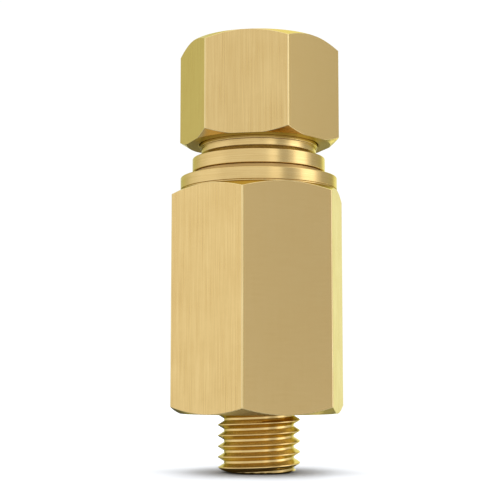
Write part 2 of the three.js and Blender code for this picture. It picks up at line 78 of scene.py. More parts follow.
BROAD_EDGE = 0.12        # radius on the edge of a collar or a flange
EDGE = 0.08              # radius on a turned edge
FINE_EDGE = 0.04         # radius on a small edge
RIDGE_EDGE = 0.06        # radius on the edge of a narrow ridge
THIN_EDGE = 0.02         # radius where a wall comes to a thin lip
CORNER = 0.20            # radius down the corners of a hexagon
SUPPORT = 0.03           # where a flat's shading starts beside a rounded edge
ARC_STEPS = 4            # segments round an edge
ARC_ROOM = 0.42          # most of a side that one edge's rounding takes
LEAST_END = 0.02         # least width of a hexagon's turned-off end
SMOOTH_ANGLE = 38        # degrees up to which neighbouring faces are shaded as one
COLUMN_STEP = math.radians(2.5)
HOLE_STEP = math.radians(7.5)
FILTER_STEP = math.radians(4)
LONG_STEP = 0.1          # share of a thread's pitch past which a row's step is split
WIRE_SIDES = 20
TURN_STEPS = 96          # segments round an open ring
SPRING_STEPS = 40        # segments in a turn of the spring
FIRST_LAP = -3           # laps of a thread start this far down, so that no column is short of one
MERGE = {"distance": 2e-7, "length": 1e-8}       # in metres
TINY, TINIEST = 1e-6, 1e-9                       # differences that don't count

BODY_FLATS = 19.0
BODY_SHOULDER = 6.9      # underside of the hexagon
BODY_TOP = 33.45         # top of the hexagon
BODY_END = {"radius": 9.45, "drop": 0.82}
COLLAR_RADIUS = 9.45
COLLAR_NICK = 0.15
STUD = {"crest": 4.864, "root": 4.15, "pitch": 1.25, "crest_flat": 0.12, "root_flat": 0.26,
        "edge": 0.035, "lead": 0.857}
STUD_END_RADIUS = 4.25
STUD_EDGE = {"height": 0.5, "depth": 0.65}
STUD_RUN_OUT = {"radius": 4.9, "height": 0.12}

FILTER_POCKET = {"radius": 3.1, "top": 3.4}
FILTER_GROOVE = {"radius": 3.4, "bottom": 0.45, "top": 1.0}
FILTER_CROWN = {"rise": 0.12, "shoulder": 0.3, "edge": 0.15, "top_share": 0.6, "top_edge": 0.5}
INLET_RADIUS = 2.0
SEAT_POCKET = {"radius": 4.2, "bottom": 8.6, "top": 12.5}
LOWER_CHAMBER = 5.5
CARRIER_SHELF = 19.0
CHAMBER = {"radius": 6.0, "top": 29.0}
SPIGOT_BORE = 6.6

SEAT = {"orifice": 1.3, "cone_bottom": 11.5, "foot_edge": 0.15, "chamfer": 0.4}
SEAT_GROOVE = {"radius": 3.25, "bottom": 10.0, "top": 11.2}
SEAT_RING = {"radius": 3.72, "section": 0.42}
NEEDLE_SLOPE = math.tan(math.radians(15))
NEEDLE_TIP_RADIUS = 0.45
NEEDLE_SHANK = 1.75
SHANK_EDGE = 0.1         # radius where the shank meets the thread
NEEDLE_THREAD = {"crest": 2.5, "root": 2.19, "pitch": 0.5, "crest_flat": 0.07, "root_flat": 0.1,
                 "edge": 0, "lead": 0.0}
NEEDLE_THREAD_BOTTOM = 17.2
NEEDLE_LEAD_IN = 0.35
NEEDLE_KEY = {"flats": 2.5, "depth": 2.2, "chamfer": 0.12, "cone": 0.35}
CLIP = {"groove": 1.3, "gap": 0.05, "mouth": 2.2}
FILTER_CLIP = {"inner": 2.4, "mouth": 1.8}
WASHER_GAP = {"spring_seat": 0.1, "lock_washer": 0.05}
SPRING = {"radius": 3.3, "wire": 0.25, "turns": 5, "end_turns": 0.8, "end_pitch": 0.56}

CARRIER = {"hub_radius": 3.6, "thickness": 3.0, "pocket": 3.75, "pocket_depth": 1.8}
FLOW_HOLES = {"count": 6, "radius": 0.65, "pitch_radius": 4.85, "sink": 0.12}
LOCK_BORE = 2.6
LOCK_NUT = {"flats": 8.0, "end": {"radius": 3.9, "drop": 0.4}, "sink": 0.3}
SPACER_WALL = 0.55
DISC_SPRING = {"inner": 4.4, "thickness": 0.5}

SPIGOT = {"radius": 6.5, "chamfer": 0.4, "top": 34.3, "relief": 6.1, "relief_rise": 0.3}
ADAPTER_KEY = {"flats": 6.0, "chamfer": 0.2}
FLANGE = {"radius": 8.02, "bottom": 35.75, "top": 37.4}
NECK_RELIEF = {"radius": 6.3, "top": 38.0, "slope": 0.85}
NECK_SHANK = {"radius": 6.95, "top": 38.75}
NECK_BEAD = {"radius": 7.12, "top": 39.25}      # its top stands just inside the nut
OUTLET = {"crest": 7.0, "root": 6.15, "pitch": 1.5, "crest_flat": 0.2, "root_flat": 0.3,
          "edge": 0.05, "lead": -0.2667}
NECK_MOUTH_CHAMFER = 0.8
TUBE_SOCKET = {"radius": 4.1, "stop": 41.3}
CONE_SLOPE = math.tan(math.radians(12))
CONE_MOUTH = 5.0
GASKET_INNER = 6.6
TOUCH = 0.004            # between clamped faces

RING_BORE = 4.08
CONE_GAP = 0.07
CUTTING_RING = {"shoulder": 48.1, "shoulder_radius": 5.5, "back": 0.5}
THRUST_RING = {"seat": 49.15, "lip": 0.05}
CAPTIVE_WIRE = {"radius": 5.72, "section": 0.28, "groove": 0.34, "mouth": 1.2}
NUT_FLATS = 17.0
NUT_LOWER_END = {"radius": 8.7, "drop": 0.7}
NUT_UPPER_END = {"radius": 8.5, "drop": 0.88}
NUT_MOUTH = {"radius": 7.22, "depth": 0.8}
NUT_POCKET = {"radius": 5.75, "bottom": 48.5, "top": 50.3}
NUT_HOLE = {"radius": 4.2, "edge": 0.15}
NUT_THREAD_GAP = 0.1     # round the neck's thread
NUT_CORNER_ANGLE = 0.0   # the nut's corners stand over the body's flats
BODY_CORNER_ANGLE = math.pi / 6
BODY_CROSSED = -math.pi / 3      # flats brushed across, by the way they face
NUT_CROSSED = -math.pi / 6

# The finishes of a brass piece, by material slot. Three carry painted light: lighter brass painted
# on rounded edges as a highlight, brass painted darker inside the bores as their shade, and a
# greyer brass painted into the neck's relief as its shade.
TURNED, DRAWN, SHADED_BORE, CROSSED, EDGE_HIGHLIGHT, FACED, RELIEF_SHADE = range(7)


# ---------------------------------------------------------------- columns of points

def hexagon(angles, flats, corner_angle, fillet=CORNER):
    """Radius of a hexagon with rounded corners, at each angle about its axis."""
    apothem = flats / 2
    sector = math.pi / 3
    off_corner = (np.asarray(angles) - corner_angle + sector / 2) % sector - sector / 2
    off_face = sector / 2 - np.abs(off_corner)
    flat = apothem / np.cos(off_face)
    centre = (apothem - fillet) / math.cos(sector / 2)
    inside = np.maximum(fillet ** 2 - (centre * np.sin(off_corner)) ** 2, 0)
    arc = centre * np.cos(off_corner) + np.sqrt(inside)
    tangent = math.atan((apothem - fillet) * math.tan(sector / 2) / apothem)
    return np.where(off_face > tangent, arc, flat)


def hexagon_angles(flats, corner_angle, fillet=CORNER):
    """Angles for the columns of a hexagon: close together round its corners, even on its flats."""
    apothem = flats / 2
    half = (apothem - fillet) * math.tan(math.pi / 6)
    tangent = math.atan(half / apothem)
    support = math.atan((half - SUPPORT) / apothem)
    flat_steps = max(2, math.ceil(2 * support / COLUMN_STEP))
    face = list(np.linspace(-support, support, flat_steps + 1)) + [-tangent]
    round_corner = np.linspace(tangent, math.pi / 3 - tangent, 2 * ARC_STEPS + 1)
    sixth = np.array(face + list(round_corner))
    starts = corner_angle + math.pi / 6 + np.arange(6) * math.pi / 3
    around = np.sort(np.concatenate([sixth + start for start in starts]) % TURN)
    kept = around[np.concatenate([[True], np.diff(around) > TINY])]
    inner = kept[(kept > TINY) & (kept < TURN - TINY)]
    return np.concatenate([[0.0], inner, [TURN]])


def hexagon_columns(flats, corner_angle, fillet=CORNER):
    """Angles for the columns of a hexagon, and its radius at each."""
    angles = hexagon_angles(flats, corner_angle, fillet)
    return angles, hexagon(angles, flats, corner_angle, fillet)


def round_angles(step=COLUMN_STEP):
    """Even angles for the columns of a round piece."""
    return np.linspace(0, TURN, math.ceil(TURN / step) + 1)


def spread(points, angles):
    """Outline corners as arrays with one row for each column.

    A corner is [radius, height, edge radius, finish, finish of the edge, for a painted highlight]."""
    count = len(angles)
    corners = np.zeros((count, len(points), 2))
    for i, point in enumerate(points):
        corners[:, i, 0] = point[0]
        corners[:, i, 1] = point[1]
    edges = [point[2] if len(point) > 2 else 0 for point in points]
    finishes = [point[3] if len(point) > 3 else TURNED for point in points]
    highlight_edges = [point[4] if len(point) > 4 else None for point in points]
    return corners, edges, finishes, highlight_edges


def unit(vectors):
    """Vectors at length one, and their lengths."""
    length = np.linalg.norm(vectors, axis=-1, keepdims=True)
    return vectors / np.maximum(length, TINIEST), length[..., 0]


def rounded(points, angles, closed):
    """Rows of points along an outline with its edges rounded, and the finish that follows each row.

    A row holds one point for each column. The ends of an open outline stay sharp."""
    corners, edges, finishes, highlight_edges = spread(points, angles)
    count = len(points)
    laid = []
    for i in range(count):
        here, before, after = corners[:, i], finishes[i - 1], finishes[i]
        if edges[i] == 0 or not closed and i in (0, count - 1):
            laid.append((here, after))
            continue
        back, back_length = unit(corners[:, i - 1] - here)
        ahead, ahead_length = unit(corners[:, (i + 1) % count] - here)
        half_turn = np.arccos(np.clip(-(back * ahead).sum(-1), -1, 1)) / 2
        room = ARC_ROOM * np.minimum(back_length, ahead_length)
        cut = np.minimum(edges[i] * np.tan(half_turn), room)
        rest = np.minimum(SUPPORT, room / 2)
        laid.append((here + back * (cut + rest)[:, None], before))
        for step in range(ARC_STEPS + 1):
            finish = before if 2 * step < ARC_STEPS else after
            # An edge given its own finish is painted lighter round its arc, as a highlight.
            if highlight_edges[i] is not None and step < ARC_STEPS:
                finish = highlight_edges[i]
            laid.append((arc_point(here, back, ahead, cut, half_turn, step / ARC_STEPS), finish))
        laid.append((here + ahead * (cut + rest)[:, None], after))
    return [row for row, _ in laid], [finish for _, finish in laid]


def arc_point(corner, back, ahead, cut, half_turn, share):
    """Point at a share of the arc that rounds a corner, `cut` along each side from it."""
    radius = cut / np.maximum(np.tan(half_turn), TINY)
    inward, _ = unit(back + ahead)
    centre = corner + inward * (radius / np.maximum(np.cos(half_turn), TINY))[:, None]
    start = corner + back * cut[:, None] - centre
    swing = (2 * share) * half_turn
    finish = corner + ahead * cut[:, None] - centre
    span = np.maximum(np.sin(2 * half_turn), TINY)
    first = np.sin(2 * half_turn - swing) / span
    second = np.sin(swing) / span
    return centre + start * first[:, None] + finish * second[:, None]


def thread_period(thread):
    """One pitch of a thread's outline, from its crest up, with its crest and root edges rounded."""
    pitch, crest, root = thread["pitch"], thread["crest"], thread["root"]
    flank = (pitch - thread["crest_flat"] - thread["root_flat"]) / 2
    corner = [(0, crest), (thread["crest_flat"], crest), (thread["crest_flat"] + flank, root),
              (thread["crest_flat"] + flank + thread["root_flat"], root)]
    outline = [(radius, height + lap * pitch, thread["edge"]) for lap in (-1, 0, 1, 2)
               for height, radius in corner]
    rows, _ = rounded(outline, np.zeros(1), closed=False)
    run = np.array([row[0] for row in rows])
    middle = (run[:, 1] >= -TINIEST) & (run[:, 1] < pitch - TINIEST)
    order = run[middle]
    return order[np.argsort(order[:, 1])]


def thread_rows(thread, bottom, top, angles, limit=None, flank_steps=3):
    """Rows up a right-hand helical thread between two heights, cut back to `limit(height)`."""
    period = thread_period(thread)
    closed = np.vstack([period, period[0] + [0, thread["pitch"]]])
    fine = [closed[0]]
    for start, end in zip(closed[:-1], closed[1:]):
        long = end[1] - start[1] > LONG_STEP * thread["pitch"]
        steps = flank_steps if long else 1
        fine += [start + (end - start) * k / steps for k in range(1, steps + 1)]
    fine = np.array(fine[:-1])
    laps = range(FIRST_LAP, math.ceil((top - bottom) / thread["pitch"]) + 1)
    offsets = np.concatenate([fine[:, 1] + lap * thread["pitch"] for lap in laps])
    radii = np.tile(fine[:, 0], len(laps))
    rise = thread["pitch"] * (np.asarray(angles) / TURN + thread["lead"])
    raised = bottom + (rise[:, None] + offsets[None, :])
    height = np.clip(raised, bottom, top)
    radius = np.array([np.interp(h, r, radii) for h, r in zip(height, raised)])
    if limit is not None:
        radius = np.minimum(radius, limit(height))
    return [np.stack([radius[:, i], height[:, i]], -1) for i in range(height.shape[1])]


def merge_doubles(mesh):
    """Merges a mesh's points that coincide, and drops the faces that have no area."""
    work = bmesh.new()
    work.from_mesh(mesh)
    bmesh.ops.remove_doubles(work, verts=work.verts, dist=MERGE["distance"])
    bmesh.ops.dissolve_degenerate(work, edges=work.edges, dist=MERGE["length"])
    bmesh.ops.recalc_face_normals(work, faces=work.faces)
    work.to_mesh(mesh)
    work.free()


def placed(name, data):
    """A new object of some data, in the scene."""
    made = bpy.data.objects.new(name, data)
    bpy.context.scene.collection.objects.link(made)
    return made


def mesh_object(name, vertices, faces, finishes=None):
    """Visual piece from points in millimetres, with doubles merged and faces shaded smooth."""
    mesh = bpy.data.meshes.new(name + "_visual")
    mesh.from_pydata([tuple(v) for v in np.asarray(vertices) * MM], [], faces)
    if finishes is not None:
        mesh.polygons.foreach_set("material_index", finishes)
    merge_doubles(mesh)
    mesh.polygons.foreach_set("use_smooth", [True] * len(mesh.polygons))
    mesh.set_sharp_from_angle(angle=math.radians(SMOOTH_ANGLE))
    return placed(name + "_visual", mesh)


def columned(name, rows, row_finishes, angles, closed=True, drawn=None):
    """Object from rows of outline points, one point in each row for each column.

    `drawn` gives, for each column, the finish that its drawn faces have instead."""
    outline = np.array(rows)
    height, width = outline.shape[:2]
    radius, z = outline[..., 0], outline[..., 1]
    points = np.stack([radius * np.cos(angles), radius * np.sin(angles), z], -1).reshape(-1, 3)
    faces, finishes = [], []
    for i in range(height if closed else height - 1):
        here, above = i * width, ((i + 1) % height) * width
        for j in range(width - 1):
            faces.append((here + j, here + j + 1, above + j + 1, above + j))
            swapped = drawn is not None and row_finishes[i] == DRAWN
            finishes.append(int(drawn[j]) if swapped else row_finishes[i])
    return mesh_object(name, points, faces, finishes)


def flat_finishes(angles, flats, corner_angle, crossed_angle):
    """Finish of each column of a hexagon's flats: corners painted with a highlight, one pair brushed
    across.
    """
    middle = (angles[:-1] + angles[1:]) / 2
    across = (middle - crossed_angle + math.pi / 2) % math.pi - math.pi / 2
    off_corner = (middle - corner_angle + math.pi / 6) % (math.pi / 3) - math.pi / 6
    half = (flats / 2 - CORNER) * math.tan(math.pi / 6)
    # Columns round the corners take lighter brass, a painted highlight.
    highlight_edges = np.abs(off_corner) < math.pi / 6 - math.atan(half / (flats / 2))
    return np.where(highlight_edges, EDGE_HIGHLIGHT, np.where(np.abs(across) < math.pi / 6, CROSSED, DRAWN))


def turned(name, points, angles=None, closed=True):
    """Object turned about Z from an outline with rounded edges."""
    angles = round_angles() if angles is None else angles
    rows, finishes = rounded(points, angles, closed)
    return columned(name, rows, finishes, angles, closed)


def chamfered(radius, height, end, flats, upward, edge=EDGE):
    """The two outline corners where a hexagon's side meets its turned-off end.

    The crease climbs towards the corners, and on the middle of a flat it runs into the end."""
    reach_out = flats / math.sqrt(3)
    over = np.maximum(radius - end["radius"], LEAST_END)
    rim = radius - over
    drop = over * end["drop"] / (reach_out - end["radius"])
    crease = height - drop if upward else height + drop
    # The crease's rounded edge is painted lighter, as a highlight.
    side = (radius, crease, edge, TURNED if upward else DRAWN, EDGE_HIGHLIGHT)
    rim_corner = (rim, height, edge, FACED if upward else TURNED)
    return [side, rim_corner] if upward else [rim_corner, side]


# ---------------------------------------------------------------- swept wires and clips

def swept(name, path, section):
    """Object swept along a path of (position, outward, upward) frames, closed flat at its ends."""
    vertices, faces = [], []
    sides = len(section)
    for position, outward, upward in path:
        vertices += [position + outward * across + upward * along for across, along in section]
    for i in range(len(path) - 1):
        for k in range(sides):
            low, high = i * sides, (i + 1) * sides
            nearby = (k + 1) % sides
            faces.append((low + k, low + nearby, high + nearby, high + k))
    faces.append(tuple(reversed(range(sides))))
    last = (len(path) - 1) * sides
    faces.append(tuple(last + k for k in range(sides)))
    return mesh_object(name, vertices, faces)


def round_section(radius, sides=WIRE_SIDES):
    """Corners of a round wire's section."""
    return [(radius * math.cos(TURN * k / sides), radius * math.sin(TURN * k / sides))
            for k in range(sides)]


def strip_section(inner, outer, bottom, top, edge=FINE_EDGE, steps=3):
    """Corners of a flat strip's section with rounded edges, from its own middle."""
    middle, level = (inner + outer) / 2, (bottom + top) / 2
    half_width, half_height = (outer - inner) / 2 - edge, (top - bottom) / 2 - edge
    section = []
    for quarter, (x, y) in enumerate([(1, -1), (1, 1), (-1, 1), (-1, -1)]):
        for step in range(steps + 1):
            angle = (quarter - 1 + step / steps) * math.pi / 2
            section.append((x * half_width + edge * math.cos(angle),
                            y * half_height + edge * math.sin(angle)))
    return middle, level, section


def arc_path(radius, height, mouth):
    """Frames round an open ring whose mouth faces +X."""
    start = math.asin(mouth / 2 / radius)
    path = []
    for angle in np.linspace(start, TURN - start, TURN_STEPS + 1):
        outward = np.array([math.cos(angle), math.sin(angle), 0])
        path.append((outward * radius + np.array([0, 0, height]), outward, np.array([0, 0, 1.0])))
    return path


# ---------------------------------------------------------------- body and inlet

def stud_end(height):
    """Radius that the stud's end is cut back to: a cone with a rounded edge."""
    curl = np.maximum(1 - height / STUD_EDGE["height"], 0) ** 2
    return STUD_END_RADIUS + height - STUD_EDGE["depth"] * curl


def body_bore():
    """Outline corners down the body's stepped bore, from below the spigot to the filter's groove."""
    bores = [
        (SPIGOT_BORE, CHAMBER["top"], CHAMBER["radius"]),
        (CHAMBER["radius"], CARRIER_SHELF, LOWER_CHAMBER),
        (LOWER_CHAMBER, SEAT_POCKET["top"], SEAT_POCKET["radius"]),
        (SEAT_POCKET["radius"], SEAT_POCKET["bottom"], INLET_RADIUS),
        (INLET_RADIUS, FILTER_POCKET["top"], FILTER_POCKET["radius"]),
        (FILTER_POCKET["radius"], FILTER_GROOVE["top"], FILTER_GROOVE["radius"]),
        (FILTER_GROOVE["radius"], FILTER_GROOVE["bottom"], FILTER_POCKET["radius"]),
    ]
    # Bores take brass painted darker, as their shade.
    return [(radius, step, FINE_EDGE, SHADED_BORE) for above, step, below in bores
            for radius in (above, below)]


def valve_body():
    """Hexagon body with its threaded stud, turned collar and stepped bore."""
    angles, side = hexagon_columns(BODY_FLATS, BODY_CORNER_ANGLE)
    collar_top = heights("valve_body")[1]
    nick = COLLAR_RADIUS - COLLAR_NICK
    thread_top = BODY_SHOULDER - STUD_RUN_OUT["height"]
    stud = thread_rows(STUD, 0, thread_top, angles, stud_end)
    lower = chamfered(side, BODY_SHOULDER, BODY_END, BODY_FLATS, upward=False)
    upper = chamfered(side, BODY_TOP, BODY_END, BODY_FLATS, upward=True)
    rest = [
        (stud[-1][:, 0], thread_top), (STUD_RUN_OUT["radius"], thread_top, FINE_EDGE),
        (STUD_RUN_OUT["radius"], BODY_SHOULDER, FINE_EDGE, FACED), *lower, *upper,
        (nick, BODY_TOP, FINE_EDGE), (nick, BODY_TOP + COLLAR_NICK, FINE_EDGE),
        (COLLAR_RADIUS, BODY_TOP + COLLAR_NICK, EDGE), (COLLAR_RADIUS, collar_top, BROAD_EDGE),
        (SPIGOT_BORE, collar_top, EDGE, SHADED_BORE), *body_bore(), (FILTER_POCKET["radius"], 0, EDGE),
        (stud[0][:, 0], 0),
    ]
    rows, finishes = rounded(rest, angles, closed=False)
    return columned("valve_body", stud + rows, [TURNED] * len(stud) + finishes, angles,
                    drawn=flat_finishes(angles, BODY_FLATS, BODY_CORNER_ANGLE, BODY_CROSSED))


def inlet_filter():
    """Sintered disc with crowned faces."""
    bottom, top = heights("inlet_filter")
    radius = reach("inlet_filter")
    crown, rise = FILTER_CROWN, FILTER_CROWN["rise"] / 3
    middle = radius * crown["top_share"]
    return turned("inlet_filter", [
        (0, bottom), (middle, bottom + rise, crown["top_edge"]),
        (radius, bottom + crown["shoulder"], crown["edge"]),
        (radius, top - crown["shoulder"], crown["edge"]),
        (middle, top - rise, crown["top_edge"]), (0, top),
    ], round_angles(FILTER_STEP), closed=False)


def open_strip(node, inner, mouth):
    """Flat open ring from the inner radius out to the CAD node's edge."""
    bottom, top = heights(node)
    middle, level, section = strip_section(inner, reach_side(node), bottom, top)
    return swept(node, arc_path(middle, level, mouth), section)


def reach_side(node):
    """Radius of an open ring, on its closed side, in millimetres."""
    return -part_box(node)[0].x / MM


# ---------------------------------------------------------------- seat and needle

def seat_insert():
    """Pressed-in seat with a conical mouth and a sealing groove."""
    bottom, top = heights("seat_insert")
    radius = reach("seat_insert")
    mouth = SEAT["orifice"] + (top - SEAT["cone_bottom"]) * NEEDLE_SLOPE
    groove, chamfer = SEAT_GROOVE, SEAT["chamfer"]
    return turned("seat_insert", [
        (SEAT["orifice"], bottom, FINE_EDGE), (radius, bottom, SEAT["foot_edge"]),
        (radius, groove["bottom"], FINE_EDGE), (groove["radius"], groove["bottom"], EDGE),
        (groove["radius"], groove["top"], EDGE), (radius, groove["top"], FINE_EDGE),
        (radius, top - chamfer, FINE_EDGE), (radius - chamfer, top, FINE_EDGE),
        (mouth, top, FINE_EDGE),
        (SEAT["orifice"], SEAT["cone_bottom"], FINE_EDGE),
    ])


def seat_o_ring():
    """Round rubber ring in the seat's groove."""
    level = (SEAT_GROOVE["bottom"] + SEAT_GROOVE["top"]) / 2
    section = SEAT_RING["section"]
    outline = [(SEAT_RING["radius"] + x, level + y) for x, y in round_section(section, 24)]
    return turned("seat_o_ring", outline)


def needle():
    """Threaded spindle that ends in the ground needle, with a hexagon socket in its top."""
    tip, top = heights("needle")
    clip_bottom, clip_top = heights("spring_clip")
    low, high = clip_bottom - CLIP["gap"], clip_top + CLIP["gap"]
    cone_top = tip + (NEEDLE_SHANK - NEEDLE_TIP_RADIUS) / NEEDLE_SLOPE
    angles, key = hexagon_columns(NEEDLE_KEY["flats"], BODY_CORNER_ANGLE, FINE_EDGE)
    floor, chamfer = top - NEEDLE_KEY["depth"], NEEDLE_KEY["chamfer"]
    end_radius = NEEDLE_THREAD["crest"] - NEEDLE_LEAD_IN
    thread = thread_rows(NEEDLE_THREAD, NEEDLE_THREAD_BOTTOM, top, angles,
                         lambda z: end_radius + np.minimum(z - NEEDLE_THREAD_BOTTOM, top - z),
                         flank_steps=1)
    below, below_finishes = rounded([
        (0, tip), (NEEDLE_TIP_RADIUS, tip, BROAD_EDGE), (NEEDLE_SHANK, cone_top, EDGE),
        (NEEDLE_SHANK, low, FINE_EDGE), (CLIP["groove"], low, FINE_EDGE),
        (CLIP["groove"], high, FINE_EDGE), (NEEDLE_SHANK, high, FINE_EDGE),
        (NEEDLE_SHANK, NEEDLE_THREAD_BOTTOM, SHANK_EDGE),
        (thread[0][:, 0], NEEDLE_THREAD_BOTTOM),
    ], angles, closed=False)
    above, above_finishes = rounded([
        (thread[-1][:, 0], top), (key + chamfer, top, FINE_EDGE),
        (key, top - chamfer, FINE_EDGE), (key, floor, FINE_EDGE), (0, floor - NEEDLE_KEY["cone"]),
    ], angles, closed=False)
    finishes = below_finishes + [TURNED] * len(thread) + above_finishes
    return columned("needle", below + thread + above, finishes, angles, closed=False)


def washer(node, inner, edge=EDGE):
    """Flat washer from its inner radius out to the CAD node's edge."""
    bottom, top = heights(node)
    radius = reach(node)
    return turned(node, [
        (inner, bottom, edge), (radius, bottom, edge), (radius, top, edge), (inner, top, edge)])


def spring_frames(low, high):
    """Frames along the spring's wire, with close turns at both ends."""
    turns, end_turns = SPRING["turns"], SPRING["end_turns"]
    end_rise = end_turns * SPRING["end_pitch"]
    open_turns = turns - 2 * end_turns
    open_pitch = (high - low - 2 * end_rise) / open_turns
    path = []
    for turn in np.linspace(0, turns, turns * SPRING_STEPS + 1):
        below = min(turn, end_turns)
        above = max(turn - end_turns - open_turns, 0)
        height = low + (below + above) * SPRING["end_pitch"] + (turn - below - above) * open_pitch
        outward = np.array([math.cos(TURN * turn), math.sin(TURN * turn), 0])
        position = outward * SPRING["radius"] + np.array([0, 0, height])
        path.append((position, outward, np.array([0, 0, 1.0])))
    return path


def needle_spring():
    """Compression spring that takes up the play in the needle's thread."""
    bottom, top = heights("needle_spring")
    wire = SPRING["wire"]
    spring = swept("needle_spring", spring_frames(bottom + wire, top - wire),
                   round_section(wire))
    ride_for(spring, "needle_spring")
    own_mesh(spring)
    return spring


# ---------------------------------------------------------------- needle carrier and lock nut

def needle_carrier():
    """Threaded bridge that holds the needle, with a ring of flow holes."""
    bottom, top = heights("needle_carrier")
    radius = reach("needle_carrier")
    bridge_top = bottom + CARRIER["thickness"]
    ceiling = bottom + CARRIER["pocket_depth"]
    blank = turned("needle_carrier", [
        (LOCK_BORE, ceiling, FINE_EDGE), (CARRIER["pocket"], ceiling, FINE_EDGE),
        (CARRIER["pocket"], bottom, FINE_EDGE), (radius, bottom, EDGE), (radius, bridge_top, EDGE),
        (CARRIER["hub_radius"], bridge_top, FINE_EDGE), (CARRIER["hub_radius"], top, EDGE),
        (LOCK_BORE, top, FINE_EDGE),
    ])
    for i in range(FLOW_HOLES["count"]):
        drill(blank, TURN * i / FLOW_HOLES["count"], bottom, bridge_top)
    merge_doubles(blank.data)
    return blank


def drill(blank, angle, bottom, top):
    """Cuts one flow hole up through a piece, with a slight countersink at its top."""
    radius, sink, past = FLOW_HOLES["radius"], FLOW_HOLES["sink"], 1
    tool = turned("drill", [
        (0, bottom - past), (radius, bottom - past), (radius, top - sink),
        (radius + 2 * sink, top + sink), (radius + 2 * sink, top + past), (0, top + past),
    ], round_angles(HOLE_STEP), closed=False)
    aside = FLOW_HOLES["pitch_radius"]
    tool.location = Vector((aside * math.cos(angle), aside * math.sin(angle), 0)) * MM
    cut = blank.modifiers.new("drill", "BOOLEAN")
    cut.operation, cut.solver, cut.object = "DIFFERENCE", "EXACT", tool
    bpy.context.view_layer.update()
    made = bpy.data.meshes.new_from_object(blank.evaluated_get(
        bpy.context.evaluated_depsgraph_get()))
    blank.modifiers.remove(cut)
    blank.data = made
    bpy.data.objects.remove(tool)


def lock_nut():
    """Thin hexagon nut that locks the needle."""
    bottom, top = heights("lock_nut")
    flats, sink = LOCK_NUT["flats"], LOCK_NUT["sink"]
    angles, side = hexagon_columns(flats, BODY_CORNER_ANGLE, EDGE)
    lower = chamfered(side, bottom, LOCK_NUT["end"], flats, upward=False, edge=FINE_EDGE)
    upper = chamfered(side, top, LOCK_NUT["end"], flats, upward=True, edge=FINE_EDGE)
    return turned("lock_nut", [
        *lower, *upper, (LOCK_BORE + sink, top, FINE_EDGE), (LOCK_BORE, top - sink, FINE_EDGE),
        (LOCK_BORE, bottom + sink, FINE_EDGE), (LOCK_BORE + sink, bottom, FINE_EDGE),
    ], angles)


def carrier_spacer():
    """Sleeve that presses the carrier onto its shelf."""
    return washer("carrier_spacer", reach("carrier_spacer") - SPACER_WALL, RIDGE_EDGE)


def disc_spring():
    """Coned spring washer."""
    bottom, top = heights("disc_spring")
    outer, inner, thick = reach("disc_spring"), DISC_SPRING["inner"], DISC_SPRING["thickness"]
    return turned("disc_spring", [
        (inner, top - thick, EDGE), (outer, bottom, EDGE), (outer, bottom + thick, EDGE),
        (inner, top, EDGE)])


# ---------------------------------------------------------------- outlet

def outlet_adapter():
    """Screwed-in outlet with its flange, threaded neck, tube socket and inner hexagon."""
    bottom, top = heights("outlet_adapter")
    angles, key = hexagon_columns(ADAPTER_KEY["flats"], BODY_CORNER_ANGLE, EDGE)
    spigot, stop, chamfer = SPIGOT, TUBE_SOCKET["stop"], ADAPTER_KEY["chamfer"]
    cone_bottom = top - (CONE_MOUTH - TUBE_SOCKET["radius"]) / CONE_SLOPE
    shank, bead = NECK_SHANK, NECK_BEAD
    rim = OUTLET["crest"] - NECK_MOUTH_CHAMFER
    relief = NECK_RELIEF
    relief_top = relief["top"] - relief["slope"] * (shank["radius"] - relief["radius"])
    neck = thread_rows(OUTLET, bead["top"], top, angles, lambda z: rim + top - z)
    # The socket and inner hexagon take brass painted darker, as the shade inside them.
    above, above_finishes = rounded([
        (neck[-1][:, 0], top), (CONE_MOUTH, top, EDGE, SHADED_BORE),
        (TUBE_SOCKET["radius"], cone_bottom, EDGE, SHADED_BORE), (TUBE_SOCKET["radius"], stop, EDGE, SHADED_BORE),
        (key + chamfer, stop, FINE_EDGE, SHADED_BORE), (key, stop - chamfer, FINE_EDGE, SHADED_BORE),
        (key, bottom, FINE_EDGE), (spigot["radius"] - spigot["chamfer"], bottom, EDGE),
        (spigot["radius"], bottom + spigot["chamfer"], EDGE), (spigot["radius"], spigot["top"], EDGE),
        (spigot["relief"], spigot["top"] + spigot["relief_rise"], EDGE),
        (spigot["relief"], FLANGE["bottom"], EDGE), (FLANGE["radius"], FLANGE["bottom"], EDGE),
        (FLANGE["radius"], FLANGE["top"], BROAD_EDGE),
        # The relief below the shank takes a greyer brass, painted so its shaded groove reads olive.
        (relief["radius"], FLANGE["top"], EDGE, RELIEF_SHADE),
        (relief["radius"], relief_top, EDGE, RELIEF_SHADE), (shank["radius"], relief["top"], EDGE),
        (shank["radius"], shank["top"], FINE_EDGE), (bead["radius"], shank["top"], RIDGE_EDGE),
        (bead["radius"], bead["top"], RIDGE_EDGE),
        (neck[0][:, 0], bead["top"]),
    ], angles, closed=False)
    finishes = [TURNED] * len(neck) + above_finishes
    return columned("outlet_adapter", neck + above, finishes, angles)


def body_gasket():
    """Flat sealing ring, pressed close between the body and the flange."""
    radius = reach("body_gasket")
    bottom, top = heights("valve_body")[1] + TOUCH, FLANGE["bottom"] - TOUCH
    return turned("body_gasket", [
        (GASKET_INNER, bottom, EDGE), (radius, bottom, EDGE), (radius, top, EDGE),
        (GASKET_INNER, top, EDGE)])


def cone_radius(height, top):
    """Radius of the outlet's cone at a height."""
    return CONE_MOUTH - (top - height) * CONE_SLOPE


